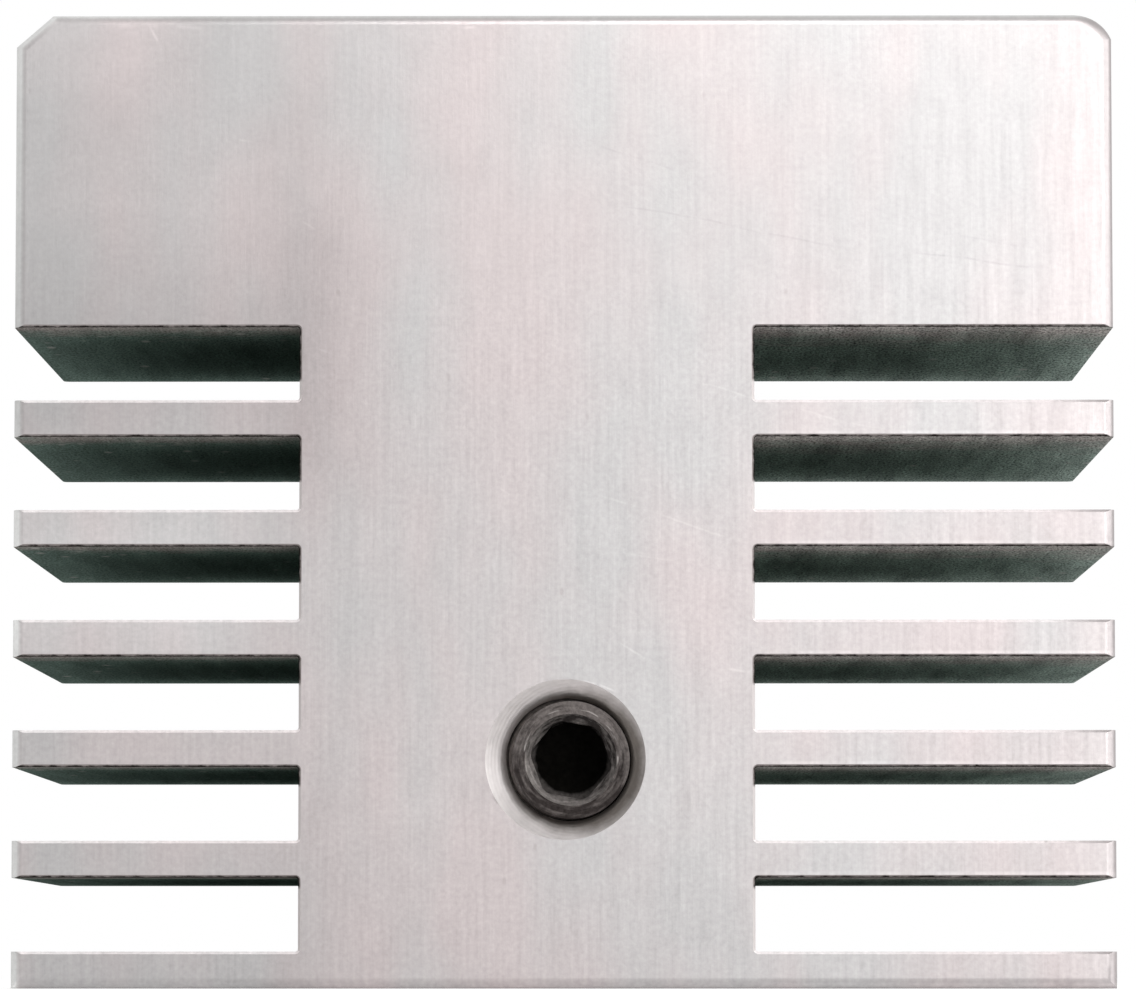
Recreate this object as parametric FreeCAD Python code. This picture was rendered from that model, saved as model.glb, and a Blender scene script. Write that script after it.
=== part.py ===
import FreeCAD, Part
import math
import os

# Finned aluminium heat-sink block with a clamping set screw.
# Millimetres, +Z up, front face towards -Y, origin on the bottom face under the middle of the block.

# Block: a solid head on top of a spine that carries the fins
block_width = 30.0
block_depth = 16.0
head_height = 8.6

# Fins, the same on both sides; the lowest one is the bottom of the block
fin_count = 6
fin_thickness = 1.0
fin_gap = 2.0

# Spine between the slots; its middle stands a little to the left of the block's middle
spine_width = 12.4
spine_shift = -1.0

# Corners and edges
left_bevel_width = 1.0
left_bevel_height = 0.87
right_round_width = 1.03
right_round_height = 0.68
outer_edge_radius = 0.3
slot_root_radius = 0.08
slot_edge_break = 0.07

# Upright bore that the block is clamped by; it stands, with the screw, a little to the right of the
# block's middle
bore_diameter = 6.0
bore_shift = 0.2
bore_mouth_chamfer = 0.3

# Set screw, M4 x 4 with a 2 mm hexagon socket and a cup point; its thread is drawn as a plain
# cylinder at the pitch diameter, and so is the thread in the tapped hole
thread_pitch_diameter = 3.55
thread_clearance = 0.02
screw_length = 4.0
screw_recess = 0.3
screw_height = 6.2
screw_face_diameter = 3.2
screw_tip_diameter = 2.5
screw_cup_diameter = 2.0
screw_cup_depth = 0.5
socket_across_flats = 2.0
socket_depth = 1.7
socket_mouth_diameter = 2.5
socket_cone_depth = 0.4
socket_turn = 20.0

# Countersink at the mouth of the tapped hole; it was cut a little to the left of the thread
countersink_diameter = 4.36
countersink_shift = -0.15

# Length by which a cutting tool runs past the face that it cuts
overrun = 1.0

fin_pitch = fin_thickness + fin_gap
block_height = head_height + fin_count * fin_pitch
head_bottom = block_height - head_height
half_width = block_width / 2.0
half_depth = block_depth / 2.0
spine_left = spine_shift - spine_width / 2.0
spine_right = spine_shift + spine_width / 2.0
tapped_radius = thread_pitch_diameter / 2.0 + thread_clearance
into_block = FreeCAD.Vector(0, 1, 0)
upwards = FreeCAD.Vector(0, 0, 1)


def front_point(x, z, y=0.0):
    """Point of an outline that is drawn looking at the front."""
    return FreeCAD.Vector(x, y, z)


def chain(points, y=0.0):
    """Straight edges through the points, each given as (x, z)."""
    corners = [front_point(x, z, y) for x, z in points]
    return [Part.LineSegment(a, b).toShape() for a, b in zip(corners, corners[1:])]


def arc_about(centre_x, centre_z, radius, first, last, y=0.0):
    """Arc about a centre between two angles in degrees, measured from +X towards +Z."""
    angles = [math.radians(a) for a in (first, (first + last) / 2.0, last)]
    places = [front_point(centre_x + radius * math.cos(a), centre_z + radius * math.sin(a), y)
              for a in angles]
    return Part.Arc(*places).toShape()


def block_blank():
    """Bar with one bevelled and one rounded top corner, and rounded edges at front and back."""
    # The rounding leaves the top face smoothly and meets the side at a slight corner
    round_radius = (right_round_width ** 2 + right_round_height ** 2) / (2.0 * right_round_height)
    round_angle = math.degrees(math.asin(right_round_width / round_radius))
    round_start = half_width - right_round_width
    edges = chain([
        (round_start, block_height),
        (left_bevel_width - half_width, block_height),
        (-half_width, block_height - left_bevel_height),
        (-half_width, 0.0),
        (half_width, 0.0),
        (half_width, block_height - right_round_height),
    ])
    edges.append(arc_about(round_start, block_height - round_radius, round_radius,
                           90.0 - round_angle, 90.0))
    face = Part.Face(Part.Wire(Part.__sortEdges__(edges)))
    bar = face.extrude(into_block * block_depth)
    bar.translate(into_block * -half_depth)
    outline = [edge for edge in bar.Edges
               if all(abs(abs(vertex.Y) - half_depth) < 1e-6 for vertex in edge.Vertexes)
               and edge.Vertexes[0].Y * edge.Vertexes[-1].Y > 0]
    return bar.makeFillet(outer_edge_radius, outline)


def slot_outline(side, floor, bottom, growth, y):
    """Outline of a slot in the plane y: open to one side, with round corners at its floor.

    side is -1 for the left slots and +1 for the right ones, floor is the spine's face, bottom is the
    slot's lower wall, and growth widens the outline all round.
    """
    radius = slot_root_radius + growth
    low = bottom - growth
    high = bottom + fin_gap + growth
    root = floor - side * growth
    bend = root + side * radius
    outer = side * (half_width + overrun)
    towards_floor = 180.0 if side > 0 else 0.0
    edges = chain([(bend, low), (outer, low), (outer, high), (bend, high)], y)
    edges.append(arc_about(bend, high - radius, radius, 90.0, towards_floor, y))
    edges += chain([(root, high - radius), (root, low + radius)], y)
    lowest = 270.0 if side > 0 else -90.0
    edges.append(arc_about(bend, low + radius, radius, towards_floor, lowest, y))
    return Part.Wire(Part.__sortEdges__(edges))


def slot_tool(side, floor, bottom):
    """One milled slot through the whole depth, with its edges broken at front and back."""
    start = -half_depth - overrun
    length = block_depth + 2.0 * overrun
    tool = Part.Face(slot_outline(side, floor, bottom, 0.0, start)).extrude(into_block * length)
    reach = slot_edge_break + overrun
    for end in (-1.0, 1.0):
        inner = slot_outline(side, floor, bottom, 0.0, end * (half_depth - slot_edge_break))
        outer = slot_outline(side, floor, bottom, reach, end * (half_depth + overrun))
        tool = tool.fuse(Part.makeLoft([inner, outer], True, True))
    return tool


def bore_tool():
    """Upright through bore with a chamfered mouth at each end."""
    radius = bore_diameter / 2.0
    start = front_point(bore_shift, -overrun)
    tool = Part.makeCylinder(radius, block_height + 2.0 * overrun, start, upwards)
    reach = bore_mouth_chamfer + overrun
    bottom_mouth = Part.makeCone(radius + reach, radius, reach, start, upwards)
    top_mouth = Part.makeCone(radius, radius + reach, reach,
                              front_point(bore_shift, block_height - bore_mouth_chamfer), upwards)
    return tool.fuse([bottom_mouth, top_mouth])


def screw_hole_tool():
    """Tapped hole from the front face into the bore, with its countersink set to one side."""
    start = front_point(bore_shift, screw_height, -half_depth - overrun)
    hole = Part.makeCylinder(tapped_radius, half_depth + overrun, start, into_block)
    # A cone of 90 degrees: its radius shrinks by as much as it goes deeper
    wide = countersink_diameter / 2.0 + overrun
    narrow = tapped_radius / 2.0
    mouth = Part.makeCone(wide, narrow, wide - narrow,
                          start + FreeCAD.Vector(countersink_shift, 0, 0), into_block)
    return hole.fuse(mouth)


def make_body():
    """Block with its slots, its bore and its tapped hole."""
    body = block_blank()
    for number in range(fin_count):
        bottom = fin_thickness + number * fin_pitch
        body = body.cut(slot_tool(-1, spine_left, bottom))
        body = body.cut(slot_tool(1, spine_right, bottom))
    body = body.cut(bore_tool())
    body = body.cut(screw_hole_tool())
    return body.removeSplitter()


def socket_tool(face_y):
    """Hexagon socket: chamfered mouth, six flats and the cone that the drill left."""
    centre = front_point(bore_shift, screw_height, face_y)
    corner_radius = socket_across_flats / math.sqrt(3.0)
    corners = []
    for number in range(7):
        angle = math.radians(90.0 + socket_turn + 60.0 * number)
        corners.append(centre + front_point(corner_radius * math.cos(angle),
                                            corner_radius * math.sin(angle), -overrun))
    hexagon = Part.Face(Part.makePolygon(corners)).extrude(into_block * (socket_depth + overrun))
    mouth_radius = socket_mouth_diameter / 2.0
    mouth = Part.makeCone(mouth_radius + overrun, 0.0, mouth_radius + overrun,
                          centre - into_block * overrun, into_block)
    cone = Part.makeCone(socket_across_flats / 2.0, 0.0, socket_cone_depth,
                         centre + into_block * socket_depth, into_block)
    return hexagon.fuse([mouth, cone])


def make_screw():
    """Set screw: turned body with a chamfered end and a cup point, and its hexagon socket."""
    face_y = -half_depth + screw_recess
    tip_y = face_y + screw_length
    radius = thread_pitch_diameter / 2.0
    face_radius = screw_face_diameter / 2.0
    tip_radius = screw_tip_diameter / 2.0
    profile = [
        (0.0, face_y),
        (face_radius, face_y),
        (radius, face_y + radius - face_radius),
        (radius, tip_y - radius + tip_radius),
        (tip_radius, tip_y),
        (screw_cup_diameter / 2.0, tip_y),
        (0.0, tip_y - screw_cup_depth),
        (0.0, face_y),
    ]
    outline = Part.makePolygon([front_point(bore_shift + r, screw_height, y) for r, y in profile])
    axis_point = front_point(bore_shift, screw_height)
    turned = Part.Face(outline).revolve(axis_point, into_block, 360.0)
    return turned.cut(socket_tool(face_y)).removeSplitter()


def single_solid(shape, name):
    """The one valid solid of a shape; anything else is an error."""
    if len(shape.Solids) != 1 or not shape.isValid():
        raise ValueError(name + " is not one valid solid")
    return shape.Solids[0]


os.makedirs("parts", exist_ok=True)
pieces = {"heat_sink_body": make_body(), "set_screw": make_screw()}
for name, shape in pieces.items():
    solid = single_solid(shape, name)
    solid.exportStep(os.path.join("parts", name + ".step"))
    box = solid.BoundBox
    print(name, "volume", round(solid.Volume, 2), "faces", len(solid.Faces),
          "size", round(box.XLength, 3), round(box.YLength, 3), round(box.ZLength, 3))
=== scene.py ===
"""Looks of a finned aluminium heat-sink block and its set screw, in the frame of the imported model.

Metres, +Z up, front face towards -Y, origin on the bottom face under the middle of the block. Sizes in
the classes are millimetres, and MM turns them to metres.
"""
import logging
import math
from collections.abc import Callable, Sequence
from dataclasses import dataclass, field
from enum import Enum
from functools import partial

import bmesh
import bpy
import numpy as np
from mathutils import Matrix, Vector


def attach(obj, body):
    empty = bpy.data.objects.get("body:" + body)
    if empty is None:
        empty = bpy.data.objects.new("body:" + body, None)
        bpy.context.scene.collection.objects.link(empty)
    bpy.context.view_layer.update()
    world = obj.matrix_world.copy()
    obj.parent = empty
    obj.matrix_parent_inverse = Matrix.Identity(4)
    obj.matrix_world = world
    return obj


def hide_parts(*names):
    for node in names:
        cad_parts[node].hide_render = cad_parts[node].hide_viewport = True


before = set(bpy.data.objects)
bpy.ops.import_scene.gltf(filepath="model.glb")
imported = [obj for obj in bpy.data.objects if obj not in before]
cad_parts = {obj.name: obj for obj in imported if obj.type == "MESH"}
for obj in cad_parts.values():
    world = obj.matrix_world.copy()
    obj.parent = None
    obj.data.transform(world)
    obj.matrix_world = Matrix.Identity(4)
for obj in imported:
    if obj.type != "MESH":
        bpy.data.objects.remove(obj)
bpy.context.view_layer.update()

log = logging.getLogger("heat_sink")

MM = 0.001

# Millimetres within which a face counts as lying on a plane, a cylinder or an edge
NEAR = 0.01

# Millimetres within which two points are one, in the CAD mesh and at the seam of the thread
WELD, SEAM = 0.001, 0.0005

# Metres within which a point lies in a plane
IN_PLANE = 1e-7

# Share of a face's normal along an axis: over SQUARE where the face is square to it, under SLOPED where
# it isn't, and under ALONG where the face runs nearly along it
SQUARE, SLOPED, ALONG = 0.99, 0.95, 0.3

# Numbers of a Mix node's two colours
A, B = 6, 7

# What feeds a node's input: a node, which stands for its first output in use, or one of its outputs
Wire = bpy.types.Node | bpy.types.NodeSocket

# add_node with the tree filled in
Adder = Callable[..., bpy.types.Node]

# A direction or a place as the front is seen: X and Z
Across = tuple[float, float]

# Two ends of a range, or a number's values at them
Range = tuple[float, float]

# The range in which most of a noise lies, a share's range, and a value that falls from 1 to 0
MOST: Range = (0.3, 0.7)
WHOLE: Range = (0.0, 1.0)
FALLING: Range = (1.0, 0.0)


def linear(hex_colour: str) -> tuple[float, float, float, float]:
    """Turns an sRGB colour to linear light.

    Args:
        hex_colour: The colour as # and six hex digits.

    Returns:
        Linear red, green and blue, and an alpha of 1.
    """
    channels = [int(hex_colour[i:i + 2], 16) / 255.0 for i in (1, 3, 5)]
    red, green, blue = (c / 12.92 if c <= 0.04045 else ((c + 0.055) / 1.055) ** 2.4 for c in channels)
    return red, green, blue, 1.0


def add_node(tree: bpy.types.NodeTree, kind: str, sockets: dict[str | int, object] | None = None,
             **settings: object) -> bpy.types.Node:
    """Adds one node, with its settings and links.

    Args:
        tree: The tree that takes the node.
        kind: Blender's name of the node's type, without ShaderNode in front.
        sockets: For each input, by name or number, the node or output that it is linked to, or its
            value. A node stands for the first output that its settings leave in use.
        settings: The node's own properties, such as operation or data_type.

    Returns:
        The new node.
    """
    node = tree.nodes.new("ShaderNode" + kind)
    for name, value in settings.items():
        setattr(node, name, value)
    for key, value in (sockets or {}).items():
        if isinstance(value, bpy.types.Node):
            value = next(output for output in value.outputs if output.enabled)
        if isinstance(value, bpy.types.NodeSocket):
            tree.links.new(value, node.inputs[key])
        else:
            node.inputs[key].default_value = value
    return node


def ranged(value: Wire, source: Range, result: Range = WHOLE) -> dict[str | int, object]:
    """Lists a Map Range node's inputs: a value, the range it is in and what that range turns into."""
    return {"Value": value, "From Min": source[0], "From Max": source[1], "To Min": result[0],
            "To Max": result[1]}


def new_material(name: str) -> tuple[bpy.types.Material, Adder]:
    """Makes a material with an empty node tree.

    Args:
        name: The material's name.

    Returns:
        The material, and the function that adds a node to its tree.
    """
    material = bpy.data.materials.new(name)
    material.use_nodes = True
    material.node_tree.nodes.clear()
    return material, partial(add_node, material.node_tree)


def finish_with(add: Adder, colour: Wire, roughness: Wire | float, normal: Wire | None = None,
                metal: bool = True) -> None:
    """Closes a material with its one shader.

    Args:
        add: Adds a node to the material's tree.
        colour: The base colour.
        roughness: The shader's roughness.
        normal: The bumped normal, if it has one.
        metal: Whether it shades as metal. If not, it is dead matt and without a highlight.
    """
    sockets = {"Base Color": colour, "Metallic": float(metal), "Roughness": roughness}
    if normal is not None:
        sockets["Normal"] = normal
    if not metal:
        sockets["Specular IOR Level"] = 0.0
    add("OutputMaterial", {"Surface": add("BsdfPrincipled", sockets)})


def millimetres(add: Adder) -> bpy.types.Node:
    """Adds the place on the piece in millimetres, from its Object coordinates."""
    place = add("TexCoord").outputs["Object"]
    return add("VectorMath", {0: place, "Scale": 1.0 / MM}, operation="SCALE")


def about_axis(add: Adder, place: Wire, axis: Across) -> tuple[bpy.types.Node, bpy.types.Node]:
    """Measures from an axis that runs from the front to the back.

    Args:
        add: Adds a node to the material's tree.
        place: The place in millimetres.
        axis: X and Z of the axis.

    Returns:
        The place as seen from the axis, with no depth, and its distance from the axis.
    """
    centred = add("VectorMath", {0: place, 1: (axis[0], 0.0, axis[1])}, operation="SUBTRACT")
    flat = add("VectorMath", {0: centred, 1: (1.0, 0.0, 1.0)}, operation="MULTIPLY")
    return flat, add("VectorMath", {0: flat}, operation="LENGTH")


def lean_towards(add: Adder, outward: Wire, towards: Across) -> bpy.types.Node:
    """Adds the share of a direction, as X and Z, in the direction outwards from an axis."""
    return add("VectorMath", {0: outward, 1: (towards[0], 0.0, towards[1])}, operation="DOT_PRODUCT")


def shade_by(add: Adder, noise: Wire, share: float) -> bpy.types.Node:
    """Adds a factor that follows a noise, from one less a share to one more."""
    return add("MapRange", ranged(noise, MOST, (1.0 - share, 1.0 + share)))


def thin_line(add: Adder, value: Wire, middle: float, widths: Range, strength: float) -> bpy.types.Node:
    """Adds a line where a value is near its middle.

    Args:
        add: Adds a node to the material's tree.
        value: The value across the line.
        middle: What it is in the line's middle.
        widths: How far from there the line is full, and how far until it has faded out.
        strength: What the line is where it is full.

    Returns:
        The line, 0 beside it.
    """
    off = add("Math", {0: value, 1: middle}, operation="SUBTRACT")
    away = add("Math", {0: off}, operation="ABSOLUTE")
    return add("MapRange", ranged(away, widths, (strength, 0.0)))


class Lay(Enum):
    """Direction of the cutter's fine lines, as millimetres between lines along X, Y and Z."""
    UPRIGHT = (0.16, 0.16, 3.5)
    CROSSWISE = (3.5, 0.16, 0.16)


@dataclass(frozen=True)
class FaceStreak:
    """A lighter or darker streak on the front face, from one point to another in millimetres. It draws
    scratches, painted highlights along rims and broad painted light and shade.

    Args:
        x0, z0: Where it starts.
        x1, z1: Where it ends.
        strength: How much lighter it is than the metal beside it, as a share; below 0 it is darker.
        width: Half of the width over which it fades out.
        full: Share of its half length over which it is full, before it fades out.
    """
    x0: float
    z0: float
    x1: float
    z1: float
    strength: float = 0.1
    width: float = 0.045
    full: float = 0.6

    def add_to(self, add: Adder, place: Wire, total: Wire | float) -> bpy.types.Node:
        """Adds what the streak does to the metal's lightness.

        Args:
            add: Adds a node to the material's tree.
            place: The place in millimetres, swayed a little.
            total: What the streaks before it do.

        Returns:
            The new total as a share, 0 away from the streaks.
        """
        angle = math.atan2(self.z1 - self.z0, self.x1 - self.x0)
        half = math.hypot(self.x1 - self.x0, self.z1 - self.z0) / 2.0
        centre = ((self.x0 + self.x1) / 2.0, 0.0, (self.z0 + self.z1) / 2.0)
        along = add("Mapping", {"Vector": place, "Location": centre, "Rotation": (0.0, -angle, 0.0)},
                    vector_type="TEXTURE")
        aside = add("SeparateXYZ", {0: add("VectorMath", {0: along}, operation="ABSOLUTE")})
        thin = add("MapRange", ranged(aside.outputs["Z"], (0.0, self.width), (self.strength, 0.0)))
        ended = add("MapRange", ranged(aside.outputs["X"], (half * self.full, half), FALLING))
        return add("Math", {0: thin, 1: ended, 2: total}, operation="MULTIPLY_ADD")


@dataclass(frozen=True)
class Spots:
    """Small spots scattered over a surface, one to a cell, of which only some show.

    Args:
        squeeze: How the cells are squeezed along X, Y and Z.
        density: Cells to a millimetre before that.
        radii: Radius over which a spot is full, and at which it has faded out, as shares of a cell.
        chance: Share of the cells whose spot doesn't show; the last of the others shows fully.
        strength: The most that a spot covers.
    """
    squeeze: tuple[float, float, float]
    density: float
    radii: Range
    chance: float
    strength: float

    def mask(self, add: Adder, place: Wire) -> bpy.types.Node:
        """Adds the spots.

        Args:
            add: Adds a node to the material's tree.
            place: The place in millimetres.

        Returns:
            A mask, 0 beside the spots and up to their strength in them.
        """
        squeezed = add("VectorMath", {0: place, 1: self.squeeze}, operation="MULTIPLY")
        cells = add("TexVoronoi", {"Vector": squeezed, "Scale": self.density})
        spot = add("MapRange", ranged(cells, self.radii, FALLING))
        drawn = add("SeparateColor", {0: cells.outputs["Color"]})
        chosen = add("MapRange", ranged(drawn, (self.chance, 1.0), (0.0, self.strength)))
        return add("Math", {0: spot, 1: chosen}, operation="MULTIPLY")


@dataclass(frozen=True)
class RolledEdgeHighlight:
    """Painted highlight: a light line where the saw rolled the lower edge of each right fin over.

    Args:
        pitch: Distance between fins.
        height: Height of the line above a fin's underside.
        widths: Half of the width over which it is full, and at which it has faded out.
        strength: How much lighter it is, as a share.
        beside_spine: X at which it begins, and at which it is full.
        top: Height above which there are no fins.
    """
    pitch: float = 3.0
    height: float = 0.1
    widths: Range = (0.02, 0.08)
    strength: float = 0.12
    beside_spine: Range = (5.3, 6.3)
    top: float = 16.5

    def line(self, add: Adder, parts: bpy.types.Node) -> bpy.types.Node:
        """Adds the line.

        Args:
            add: Adds a node to the material's tree.
            parts: The place's three parts in millimetres.

        Returns:
            How much lighter the metal is, as a share.
        """
        above = add("Math", {0: parts.outputs["Z"], 1: self.pitch}, operation="MODULO")
        line = thin_line(add, above, self.height, self.widths, self.strength)
        right = add("MapRange", ranged(parts.outputs["X"], self.beside_spine))
        low = add("Math", {0: parts.outputs["Z"], 1: self.top}, operation="LESS_THAN")
        there = add("Math", {0: right, 1: low}, operation="MULTIPLY")
        return add("Math", {0: line, 1: there}, operation="MULTIPLY")


@dataclass(frozen=True)
class TumbledAluminium:
    """Aluminium 6061, fly-cut and then tumbled: satin, pinkish light grey, with faint lines and pits.

    Args:
        name: The material's name.
        warm: The colour of its pinkish patches.
        cool: The colour of its neutral patches.
        wear_and_light: The colour beside the edges of the right end: wear, and painted light on the
            rounded edge.
        edge_highlight: A painted highlight, the lighter colour beside the edges of the left end and the
            top.
        pit: The colour of a pit.
        pits: Small dark pits, a little taller than wide.
        lay: The direction of the cutter's lines.
        roughness: The shader's roughness, which the lines change a little.
        grain: How strong the fine grain is beside the cutter's lines.
        cloudiness: How much broad clouds change the metal's lightness, as a share.
        head: Heights between which the fins' look goes over to the head's.
        line_strength: How strong the cutter's lines are on the fins, and on the head.
        lowest: Heights between which the lowest fins' look goes over to the others'.
        level: Lightness of the lowest fins, and of the others.
        edge_band_right: X between which the band of wear and painted light at the right end grows.
        edge_band_face: Distances from the middle between which the edge bands beside a big face grow.
        edge_band_outer: Length over which the painted highlight at the left end and the top grows.
        patch_steps: How fast the pinkish patches change along the lay, and across it.
        sway: How far a streak sways from its straight line, in millimetres.
        front: Y in front of which the streaks, the broad painted light and shade and the rolled edge's
            painted highlight are drawn.
        streaks: Scratches and painted highlights along rims, broken up by the cutter's ridges.
        patches: Broad painted light and shade, which isn't broken up.
    """
    name: str = "tumbled_aluminium"
    warm: str = "#AAA2A2"
    cool: str = "#A4A2A2"
    wear_and_light: str = "#ADA7A7"
    edge_highlight: str = "#CACAC9"
    pit: str = "#8C8684"
    pits: Spots = Spots((1.0, 1.0, 0.6), 1.3, (0.04, 0.1), 0.6, 0.45)
    lay: Lay = Lay.UPRIGHT
    roughness: float = 0.42
    grain: float = 1.15
    cloudiness: float = 0.175
    head: Range = (17.0, 20.0)
    line_strength: Range = (0.26, 0.18)
    lowest: Range = (1.0, 5.0)
    level: Range = (0.87, 0.9125)
    edge_band_right: Range = (13.2, 14.8)
    edge_band_face: Range = (7.5, 7.7)
    edge_band_outer: float = 0.15
    patch_steps: Range = (0.12, 0.3)
    sway: float = 0.6
    front: float = -7.6
    scratches: Sequence[FaceStreak] = ()
    patches: Sequence[FaceStreak] = ()

    def build(self) -> bpy.types.Material:
        """Makes the material.

        Returns:
            The finished material. The cutter's lines are about 0.05 mm apart on the real face and are
            drawn 0.16 mm apart, or they would not show.
        """
        material, add = new_material(self.name)
        place = millimetres(add)
        parts = add("SeparateXYZ", {0: place})
        spacing = add("VectorMath", {0: place, 1: [1.0 / step for step in self.lay.value]},
                      operation="MULTIPLY")
        lines = add("TexNoise", {"Vector": spacing, "Scale": 1.0, "Detail": 3.0, "Roughness": 0.6})
        grain = add("TexNoise", {"Vector": place, "Scale": 7.0, "Detail": 2.0, "Roughness": 0.6})
        clouds = add("TexNoise", {"Vector": place, "Scale": 1.1, "Detail": 5.0, "Roughness": 0.7})
        # Lines and grain together are 0 on average, as both noises have a mean of a half
        fine = add("Math", {0: grain, 1: self.grain, 2: -0.5 - self.grain / 2.0},
                   operation="MULTIPLY_ADD")
        cut = add("Math", {0: lines, 1: fine}, operation="ADD")
        # The lines are weaker on the head, and the lowest fins are a little darker
        strength = add("MapRange", ranged(parts.outputs["Z"], self.head, self.line_strength))
        level = add("MapRange", ranged(parts.outputs["Z"], self.lowest, self.level))
        lined = add("Math", {0: cut, 1: strength, 2: level}, operation="MULTIPLY_ADD")
        shade = add("Math", {0: clouds, 1: self.cloudiness, 2: lined}, operation="MULTIPLY_ADD")
        marked = add("Math", {0: shade, 1: self.marks(add, place, parts)}, operation="MULTIPLY")
        shaded = add("VectorMath", {0: self.tint(add, place, parts), "Scale": marked},
                     operation="SCALE")
        pits = self.pits.mask(add, place)
        pitted = add("Mix", {0: pits, A: shaded, B: linear(self.pit)}, data_type="RGBA")
        gloss = add("MapRange", ranged(lines, MOST, (self.roughness + 0.03, self.roughness - 0.03)))
        relief = add("Math", {0: lines, 1: grain}, operation="ADD")
        sunk = add("Math", {0: relief, 1: pits}, operation="SUBTRACT")
        bump = add("Bump", {"Strength": 0.2, "Distance": 0.01 * MM, "Height": sunk})
        finish_with(add, pitted, gloss, bump)
        return material

    def tint(self, add: Adder, place: Wire, parts: bpy.types.Node) -> bpy.types.Node:
        """Adds pinkish and cool patches, drawn out along the lay, and the edge bands: a painted
        highlight at the left end and the top, wear and painted light at the right end.

        Args:
            add: Adds a node to the material's tree.
            place: The place in millimetres.
            parts: Its three parts.

        Returns:
            The metal's colour.
        """
        along, across = self.patch_steps
        drawn_out = add("VectorMath", {0: place, 1: [along if step > 1.0 else across
                                                     for step in self.lay.value]},
                        operation="MULTIPLY")
        patches = add("TexNoise", {"Vector": drawn_out, "Scale": 1.0, "Detail": 2.0, "Roughness": 0.5})
        share = add("MapRange", ranged(patches, (0.36, 0.64)))
        patched = add("Mix", {0: share, A: linear(self.warm), B: linear(self.cool)}, data_type="RGBA")
        # Edge bands: a painted highlight along the left end and the top, wear and painted light at the
        # right end
        past: Wire | float = -1.0
        for towards, start in EDGE_BAND_FROM:
            reach = add("VectorMath", {0: place, 1: towards}, operation="DOT_PRODUCT")
            beyond = add("Math", {0: reach, 1: start}, operation="SUBTRACT")
            past = add("Math", {0: beyond, 1: past}, operation="MAXIMUM")
        left_or_top = add("MapRange", ranged(past, (0.0, self.edge_band_outer)))
        right = add("MapRange", ranged(parts.outputs["X"], self.edge_band_right))
        outer = add("Math", {0: right, 1: left_or_top}, operation="MAXIMUM")
        from_middle = add("Math", {0: parts.outputs["Y"]}, operation="ABSOLUTE")
        near_face = add("MapRange", ranged(from_middle, self.edge_band_face))
        band = add("Math", {0: outer, 1: near_face}, operation="MULTIPLY")
        wear_and_light = add("Mix", {0: left_or_top, A: linear(self.wear_and_light), B: linear(self.edge_highlight)},
                   data_type="RGBA")
        return add("Mix", {0: band, A: patched, B: wear_and_light}, data_type="RGBA")

    def marks(self, add: Adder, place: Wire, parts: bpy.types.Node) -> bpy.types.Node:
        """Adds the marks of the front face, each drawn by its distance from a slightly bent line. They
        are scratches, painted highlights along the rims, and broad painted light and shade.

        Args:
            add: Adds a node to the material's tree.
            place: The place in millimetres.
            parts: Its three parts.

        Returns:
            The factor by which the metal is lighter or darker, 1 away from the marks.
        """
        sway = add("TexNoise", {"Vector": place, "Scale": 0.25, "Detail": 1.0})
        bent = add("VectorMath", {0: sway.outputs["Color"], 1: (0.5,) * 3}, operation="SUBTRACT")
        drift = add("VectorMath", {0: bent, 1: (self.sway,) * 3, 2: place}, operation="MULTIPLY_ADD")
        # Scratches, and painted highlights along the rims
        streaked: Wire | float = 0.0
        for streak in self.scratches:
            streaked = streak.add_to(add, drift, streaked)
        # Broad painted light and shade
        patched: Wire | float = 0.0
        for patch in self.patches:
            patched = patch.add_to(add, drift, patched)
        breaks = add("TexNoise", {"Vector": place, "Scale": 1.6, "Detail": 3.0})
        broken = add("MapRange", ranged(breaks, (0.4, 0.55), (0.15, 1.0)))
        # The rolled edge is a painted highlight
        fine = add("Math", {0: streaked, 1: RolledEdgeHighlight().line(add, parts)}, operation="ADD")
        shown = add("Math", {0: fine, 1: broken, 2: patched}, operation="MULTIPLY_ADD")
        front = add("Math", {0: parts.outputs["Y"], 1: self.front}, operation="LESS_THAN")
        return add("Math", {0: shown, 1: front, 2: 1.0}, operation="MULTIPLY_ADD")


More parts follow.
